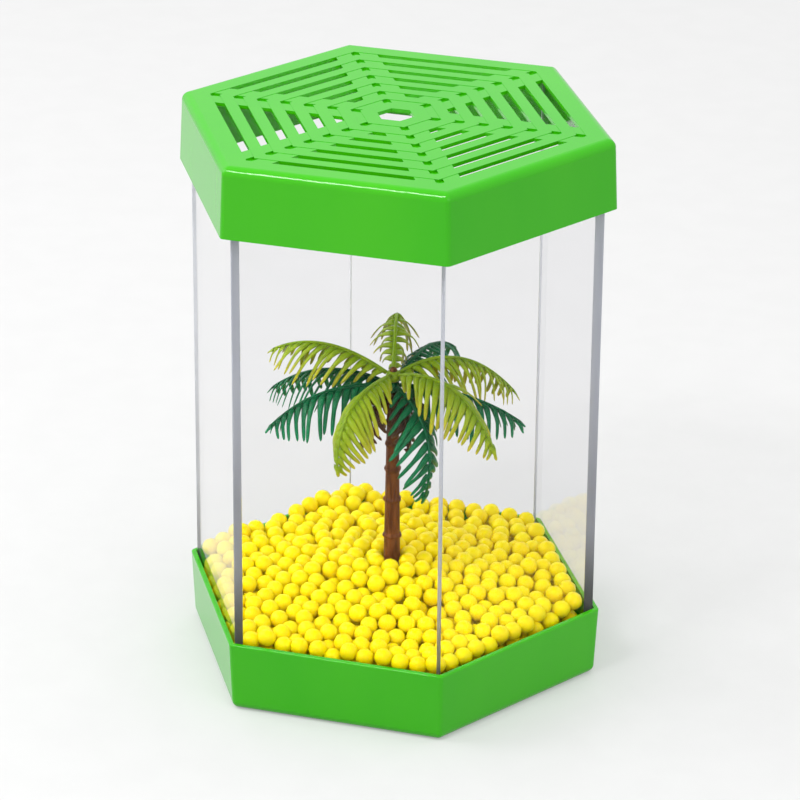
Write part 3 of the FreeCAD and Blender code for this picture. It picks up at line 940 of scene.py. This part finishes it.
@dataclass(frozen=True)
class Frond:
    """Line of one frond, in degrees and millimetres from the rachis's root on its hub.

    Its folds are the shares of the common droop that its leaflets hang by, on its anticlockwise
    and on its clockwise hand. Its pitch is the distance from leaflet to leaflet, and its growth
    the share of the common leaflet length.
    """

    turn: float
    reach: float
    bow: float
    rise: float
    drop: float
    folds: Span = (1.0, 1.0)
    pitch: float = 2.8
    growth: float = 1.0

    def line(self, root: float, level: float, share: Array) -> Pair:
        """Follow the rachis, a quadratic arch from root through bow point to tip.

        Args:
            root: distance of the root from the trunk's axis.
            level: height of the root.
            share: places along the arch, from 0 to 1.

        Returns:
            Points on the arch and unit directions along it.
        """
        angle = math.radians(self.turn)
        out = np.array([math.cos(angle), math.sin(angle), 0.0])
        up = np.array([0.0, 0.0, 1.0])
        start = out * root + up * level
        bow = out * self.bow * MM + up * (level + self.rise * MM)
        end = out * self.reach * MM + up * (level + self.drop * MM)
        u = share[:, None]
        points = start * (1 - u) ** 2 + bow * (2 * u * (1 - u)) + end * u ** 2
        along = (bow - start) * (1 - u) + (end - bow) * u
        return points, along / np.linalg.norm(along, axis=1, keepdims=True)

    def side(self) -> Array:
        """Give the level direction square to the frond."""
        angle = math.radians(self.turn)
        return np.array([-math.sin(angle), math.cos(angle), 0.0])


@dataclass
class Whorl:
    """Comb fronds on one hub.

    Angles are degrees. A chance is the spread of the leaflets' small random differences.
    """

    node: str
    slot: Slot
    order: int
    fronds: list[Frond]
    leaf: LeafPlastic
    first_seed: int = 21
    half_width: float = 7.0 * MM
    blade_skew: float = 0.75
    blade_power: float = 0.9
    stalk_half: float = 0.75 * MM
    tip_radius: float = 0.4 * MM
    hub_radius: float = 3.0 * MM
    hub_skin: float = 2.4 * MM
    hub_height: float = 3.8 * MM
    hub_flat: float = 0.12
    hub_rows: int = 8
    hub_around: int = 16
    pin_rise: float = 1.2 * MM
    hubs: int = 3
    seat_share: float = 0.7
    root_share: float = 0.75
    rib_share: float = 0.93
    rib_rows: int = 26
    line_steps: int = 200
    bare_pitches: float = 0.8
    leaf_half: float = 1.35 * MM
    leaf_thick: float = 0.34 * MM
    leaf_dome: float = 0.34 * MM
    leaf_taper: float = 0.44
    web_share: float = 0.12
    finger_share: float = 0.55
    sweep: Span = (28.0, 68.0)
    sweep_chance: float = 3.0
    lift: float = -14.0
    lift_chance: float = 4.0
    droop: float = 68.0
    bend_chance: float = 6.0
    end_droop: float = 0.2
    tip_ease: float = 0.4
    length_share: float = 2.3
    length_chance: float = 0.05
    least_share: float = 0.3
    leaf_rows: int = 8
    leaf_around: int = 8
    row_crowding: float = 1.5

    def build(self) -> None:
        """Make the whorl's piece."""
        rng = np.random.default_rng(self.order + self.first_seed)
        skins = [self.hub()]
        for frond in self.fronds:
            skins += [self.rachis(frond), self.leaflets(frond, rng)]
        name = f"{self.node}_comb"
        piece = join_skins(skins).piece(name, self.leaf.material(), Attribute.LEAF_REACH)
        settle_piece(piece, Body.PALM, self.slot, self.node)

    def foot(self) -> float:
        """Give the height of the hub's underside, counted down from the top of the pin."""
        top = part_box("palm_trunk")[1].z - self.pin_rise
        return top - (self.hubs - self.order) * self.hub_height

    def line(self, frond: Frond, share: Array) -> Pair:
        """Give points on a frond's arch from the hub, and the directions along it."""
        level = self.foot() + self.seat_share * self.hub_height
        return frond.line(self.root_share * self.hub_radius, level, share)

    def hub(self) -> Skin:
        """Turn a rounded barrel about the pin.

        Its radius swells with the square root of a sine of the height.

        Returns:
            The hub's skin.
        """
        share = ((np.arange(self.hub_rows) + 0.5) / self.hub_rows)[:, None]
        swell = np.sin(math.pi * (self.hub_flat + (1.0 - 2.0 * self.hub_flat) * share))
        radius = np.tile(self.hub_skin * np.sqrt(swell), self.hub_around)
        low = self.foot()
        return lathe(radius, low + share * self.hub_height, (low, low + self.hub_height))

    def rachis(self, frond: Frond) -> Skin:
        """Carry a shrinking circle along the arch.

        Args:
            frond: line of the frond.

        Returns:
            The rib's skin.
        """
        share = np.linspace(0.0, self.rib_share, self.rib_rows)
        points, along = self.line(frond, share)
        side = frond.side()
        normal = np.cross(along, side)
        radius = (self.stalk_half + (self.tip_radius - self.stalk_half) * share)[:, None, None]
        cosine, sine = (wave[None, :, None] for wave in circle(self.leaf_around))
        rings = points[:, None, :] + radius * (side * cosine + normal[:, None, :] * sine)
        return skin_tube(rings, points[0], points[-1] + along[-1] * self.tip_radius)

    def blade(self, share: Array) -> Array:
        """Half width of the blade: a stalk that swells along a skewed sine and closes again.

        Args:
            share: places along the arch, from 0 to 1.

        Returns:
            Half widths.
        """
        wave = np.clip(np.sin(math.pi * share ** self.blade_skew), 0.0, None)
        return self.stalk_half + (self.half_width - self.stalk_half) * wave ** self.blade_power

    def leaf_places(self, frond: Frond) -> Array:
        """Space leaflets evenly along a frond's rachis.

        Args:
            frond: line of the frond.

        Returns:
            Places along the arch, as shares of it.
        """
        share = np.linspace(0.0, self.rib_share, self.line_steps)
        points, _ = self.line(frond, share)
        steps = np.linalg.norm(np.diff(points, axis=0), axis=1)
        lengths = np.concatenate([[0.0], np.cumsum(steps)])
        pitch = frond.pitch * MM
        places = np.arange(self.bare_pitches * pitch, lengths[-1], pitch)
        return np.interp(places, lengths, share)

    def leaf_widths(self, t: Array) -> Array:
        """Share of the full width along a leaflet.

        It is full in the web next to the rib, where neighbours run into each other, narrows
        along a smooth step to a finger, and closes as the root of 1 - t^8.

        Args:
            t: places along the leaflet, from 0 to 1.

        Returns:
            Shares of the width.
        """
        step = np.clip((t - self.web_share) / (self.finger_share - self.web_share), 0.0, 1.0)
        narrow = 1.0 - self.leaf_taper * step ** 2 * (3.0 - 2.0 * step)
        return np.sqrt(1.0 - t ** 8) * narrow

    def leaflets(self, frond: Frond, rng: np.random.Generator) -> Skin:
        """Grow leaflets from both sides of a rachis, and one from its end to the arch's tip.

        A leaflet leaves the rib along a direction swept towards the tip. Its angle above that
        direction falls from a lift to a droop, fastest at the root, and its line is summed from
        short steps at that angle. Both angles ease with the square of the place on the rib, so
        that the last leaflets lie in line with it. The section is a domed ellipse.

        Args:
            frond: line of the frond.
            rng: source of the leaflets' small differences.

        Returns:
            The skin of all the leaflets, with the share of their length at each ring.
        """
        places = self.leaf_places(frond)
        share = np.concatenate([places, places, [self.rib_share]])
        hand = np.concatenate([np.ones(len(places)), -np.ones(len(places)), [0.0]])
        count = len(share)
        base, along = self.line(frond, share)
        tip, _ = self.line(frond, np.ones(1))
        side = frond.side()
        normal = np.cross(along, side)
        sweep = self.sweep[0] + (self.sweep[1] - self.sweep[0]) * share ** 2
        sweep = np.radians(sweep + rng.normal(0.0, self.sweep_chance, count))
        sweep[-1] = math.pi / 2
        heading = hand[:, None] * side * np.cos(sweep)[:, None] + along * np.sin(sweep)[:, None]
        heading /= np.linalg.norm(heading, axis=1, keepdims=True)
        width = np.maximum(self.blade(share), self.least_share * self.half_width)
        length = frond.growth * self.length_share * width
        length *= 1.0 + rng.normal(0.0, self.length_chance, count)
        length[-1] = np.linalg.norm(tip - base[-1])
        hang = np.where(hand > 0.0, *frond.folds) * (1.0 - self.tip_ease * share ** 2)
        lift = np.radians(hang * self.lift + rng.normal(0.0, self.lift_chance, count))
        bend = -hang * (self.lift + self.droop) + rng.normal(0.0, self.bend_chance, count)
        bend[-1] = -self.end_droop * self.droop
        lift[-1] = 0.0
        t = 1.0 - (1.0 - np.arange(self.leaf_rows + 1) / self.leaf_rows) ** self.row_crowding
        angle = lift[:, None] + np.radians(bend)[:, None] * (1.0 - (1.0 - t) ** 2)
        middle = (angle[:, 1:] + angle[:, :-1]) / 2
        start = np.zeros((count, 1))
        out, up = (
            np.concatenate([start, np.cumsum(wave * np.diff(t), axis=1)], axis=1)[..., None]
            for wave in (np.cos(middle), np.sin(middle))
        )
        heading, normal = heading[:, None], normal[:, None]
        line = base[:, None] + length[:, None, None] * (out * heading + up * normal)
        across = np.cross(normal, heading)[:, None]
        above = np.cos(angle)[..., None] * normal - np.sin(angle)[..., None] * heading
        cosine, sine = (wave[:, None] for wave in circle(self.leaf_around))
        dome = self.leaf_thick * sine - self.leaf_dome * cosine ** 2
        section = self.leaf_half * cosine * across + dome * above[:, :, None]
        rings = line[:, :, None] + self.leaf_widths(t)[:, None, None] * section
        poles = np.stack([line[:, 0], line[:, -1]], axis=1)
        values = np.broadcast_to(t[:-1], (count, self.leaf_rows))
        return skin_tubes(rings[:, :-1], poles, values)


@dataclass
class Trunk:
    """Ringed trunk with the pin that carries the hubs."""

    foot_radius: float = 2.75 * MM
    top_radius: float = 1.9 * MM
    bare_level: float = 28.0 * MM
    top_level: float = 86.6 * MM
    pin_radius: float = 1.2 * MM
    collar_first: float = 39.2 * MM
    collar_step: float = 12.8 * MM
    collar_ratio: float = 0.84
    collar_height: float = 1.3 * MM
    collar_rise: float = 0.5 * MM
    collar_spread: float = 0.55
    collar_power: int = 4
    collars: int = 5
    knob_share: float = 0.3
    knob_turn: float = 1.7
    knobs: int = 5
    flute: float = 0.07 * MM
    flutes: int = 9
    row_step: float = 0.35 * MM
    around: int = 28
    bark: BarkPlastic = BarkPlastic(
        "trunk_bark", fibre=(0.080, 0.022, 0.004), worn=(0.200, 0.064, 0.014)
    )

    def build(self) -> None:
        """Make the trunk's piece."""
        piece = self.stem().piece("ringed_trunk", self.bark.material())
        settle_piece(piece, Body.PALM, Slot.TRUNK, "palm_trunk")

    def stem(self) -> Skin:
        """Turn the trunk's radius about its axis.

        The radius is a taper, plus shallow flutes, plus a flat bump at every collar that is
        knobbly round the trunk. The collars come closer by a fixed ratio. Above the stem the
        radius steps down to the pin, whose end is rounded.

        Returns:
            The trunk's skin.
        """
        low, high = (corner.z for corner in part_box("palm_trunk"))
        levels = np.arange(low, high, self.row_step)[:, None]
        angles = 2.0 * math.pi * np.arange(self.around)[None, :] / self.around
        share = np.clip((levels - self.bare_level) / (self.top_level - self.bare_level), 0.0, 1.0)
        radius = self.foot_radius + (self.top_radius - self.foot_radius) * share
        radius = radius + self.flute * np.cos(self.flutes * angles)
        for collar in range(self.collars):
            steps = (1.0 - self.collar_ratio ** collar) / (1.0 - self.collar_ratio)
            middle = self.collar_first + self.collar_step * steps + self.collar_height / 2
            away = (levels - middle) / (self.collar_spread * self.collar_height)
            knob = 1.0 + self.knob_share * np.cos(self.knobs * angles + self.knob_turn * collar)
            radius = radius + self.collar_rise * np.exp(-(away ** self.collar_power)) * knob
        over = ((levels - high + self.pin_radius) / self.pin_radius).clip(0.0)
        rounding = np.sqrt(np.clip(1.0 - over ** 2, 0.0, 1.0))
        radius = np.where(levels < self.top_level, radius, self.pin_radius * rounding)
        return lathe(radius, levels, (low, high))


@dataclass
class Palm:
    """Artificial palm: trunk, dry skirt and two whorls of comb fronds."""

    light: LeafPlastic = LeafPlastic(
        "light_leaf",
        rib=(0.22, 0.33, 0.004), middle=(0.33, 0.41, 0.008), tip=(0.52, 0.45, 0.025),
        shade=(0.78, 0.86, 0.6),
    )
    dark: LeafPlastic = LeafPlastic(
        "dark_leaf",
        rib=(0.001, 0.115, 0.038), middle=(0.002, 0.165, 0.055), tip=(0.005, 0.205, 0.072),
        shade=(0.6, 0.72, 0.7),
    )
    dry: LeafPlastic = LeafPlastic(
        "dry_leaf",
        rib=(0.075, 0.028, 0.014), middle=(0.11, 0.045, 0.022), tip=(0.13, 0.055, 0.028),
        shade=(0.6, 0.55, 0.5),
    )
    dry_fronds: int = 5
    dry_turn: float = 237.0
    dry_half_width: float = 3.6 * MM

    def build(self) -> None:
        """Make the trunk and the three whorls."""
        Trunk().build()
        for whorl in self.whorls():
            whorl.build()

    def whorls(self) -> list[Whorl]:
        """List the whorls from the lowest hub up.

        Returns:
            Dry, lower and upper whorl.
        """
        turns = [self.dry_turn + 360.0 / self.dry_fronds * step for step in range(self.dry_fronds)]
        hanging = [Frond(turn, 13.0, 13.0, -2.0, -15.0) for turn in turns]
        lower = [
            Frond(166.0, 48.5, 28.0, 5.0, -14.0),
            Frond(217.0, 43.5, 27.0, 5.5, -10.5),
            Frond(318.0, 19.0, 32.0, -4.0, -35.0, folds=(1.0, 0.4), pitch=3.6),
            Frond(6.0, 42.8, 26.0, 1.0, -10.5),
            Frond(80.0, 44.0, 26.0, 10.0, -4.0),
        ]
        upper = [
            Frond(105.0, 34.0, 19.0, 16.0, 6.0, folds=(1.2, 1.2), pitch=2.5, growth=0.95),
            Frond(181.0, 42.5, 25.0, 14.0, 2.0),
            Frond(260.0, 38.0, 41.0, 7.0, -21.0, folds=(1.0, 1.3)),
            Frond(338.0, 42.0, 28.0, 10.0, -18.0),
            Frond(36.0, 43.3, 24.0, 11.5, -15.0),
        ]
        return [
            Whorl(
                "palm_dry_whorl", Slot.TRUNK, 0, hanging, self.dry, half_width=self.dry_half_width
            ),
            Whorl("palm_lower_whorl", Slot.DARK_LEAF, 1, lower, self.dark),
            Whorl("palm_upper_whorl", Slot.LIGHT_LEAF, 2, upper, self.light),
        ]


@dataclass(frozen=True)
class Softbox:
    """Square studio lamp that faces the tank."""

    name: str
    heading: Triple
    distance: float
    width: float
    power: float

    def build(self, target: Vector) -> None:
        """Hang the lamp.

        Args:
            target: point that it faces.
        """
        lamp = bpy.data.lights.new(self.name, "AREA")
        lamp.energy = self.power
        lamp.size = self.width
        item = bpy.data.objects.new(self.name, lamp)
        away = Vector(self.heading).normalized()
        item.location = target + away * self.distance
        item.rotation_euler = away.to_track_quat("Z", "Y").to_euler()
        bpy.context.scene.collection.objects.link(item)


@dataclass
class Studio:
    """White floor, soft light and the camera."""

    floor_half: float = 3.0
    floor_drop: float = 0.05 * MM
    horizon: float = 0.43
    zenith: float = 1.30
    lamps: tuple[Softbox, ...] = (
        Softbox("right_softbox", (0.75, -0.65, 0.5), 1.4, 0.8, 2.2),
        Softbox("left_softbox", (-0.80, -0.10, 0.60), 1.2, 0.6, 4.6),
        Softbox("front_softbox", (-0.27, -0.55, 0.79), 1.1, 0.18, 3.1),
    )
    azimuth: float = 17.00
    elevation: float = 24.07
    roll: float = 0.48
    distance: float = 1.238
    target_side: float = 2.07 * MM
    target_level: float = 87.42 * MM
    focal_pixels: float = 3859.0
    frame_pixels: float = 800.0
    sensor: float = 36.0

    def build(self) -> None:
        """Lay the floor, light the room and set up the camera."""
        scene = bpy.context.scene
        scene.view_settings.view_transform = "Standard"
        half, level = self.floor_half, -self.floor_drop
        places = (-half, -half), (half, -half), (half, half), (-half, half)
        points = np.array([(*place, level) for place in places])
        no_triangles = np.zeros((0, 3), int)
        skin = Skin(points, np.array([[0, 1, 2, 3]]), no_triangles, np.zeros(4))
        skin.piece("studio_floor", StudioPaint("studio_white").material())
        scene.world = self.surroundings()
        low, high = CAD_BOX
        for lamp in self.lamps:
            lamp.build((low + high) / 2)
        scene.camera = self.camera()

    def surroundings(self) -> bpy.types.World:
        """Make the room's white light, which grows from the horizon to the zenith.

        The eye, gloss and clear pieces see a white room instead.

        Returns:
            The world.
        """
        world = bpy.data.worlds.new("studio_room")
        world.use_nodes = True
        nodes = Nodes(world.node_tree)
        heading = nodes.add("ShaderNodeTexCoord").outputs["Generated"]
        height = nodes.add("ShaderNodeSeparateXYZ", heading).outputs["Z"]
        dome = nodes.add("ShaderNodeMapRange", height, To_Min=self.horizon, To_Max=self.zenith)
        choice = nodes.add("ShaderNodeMix", nodes.seen())
        # The sockets for the two numbers come after the factors.
        nodes.feed(choice.inputs[2], dome.outputs["Result"])
        nodes.feed(choice.inputs[3], 1.0)
        background = nodes.tree.nodes["Background"]
        nodes.feed(background.inputs["Color"], (*WHITE, 1.0))
        nodes.feed(background.inputs["Strength"], choice.outputs[0])
        return world

    def camera(self) -> bpy.types.Object:
        """Set up the camera at the photograph's angle.

        Returns:
            The camera's object.
        """
        lens = bpy.data.cameras.new("view")
        lens.sensor_width = self.sensor
        lens.lens = self.focal_pixels / self.frame_pixels * self.sensor
        camera = bpy.data.objects.new("view", lens)
        bpy.context.scene.collection.objects.link(camera)
        turn, tilt = math.radians(self.azimuth), math.radians(self.elevation)
        right = Vector((math.cos(turn), math.sin(turn), 0.0))
        level = math.cos(tilt)
        back = Vector((math.sin(turn) * level, -math.cos(turn) * level, math.sin(tilt)))
        target = right * self.target_side + Vector((0.0, 0.0, self.target_level))
        roll = Matrix.Rotation(math.radians(self.roll), 4, "Z")
        facing = back.to_track_quat("Z", "Y").to_matrix().to_4x4()
        camera.matrix_world = Matrix.Translation(target + back * self.distance) @ facing @ roll
        return camera


def main() -> None:
    """Build the sub-assemblies in order, then the studio."""
    logging.basicConfig(level=logging.INFO, format="%(message)s")
    for part in (Shell(), Walls(), BallBed(), Palm(), Studio()):
        part.build()


if __name__ == "__main__":
    main()
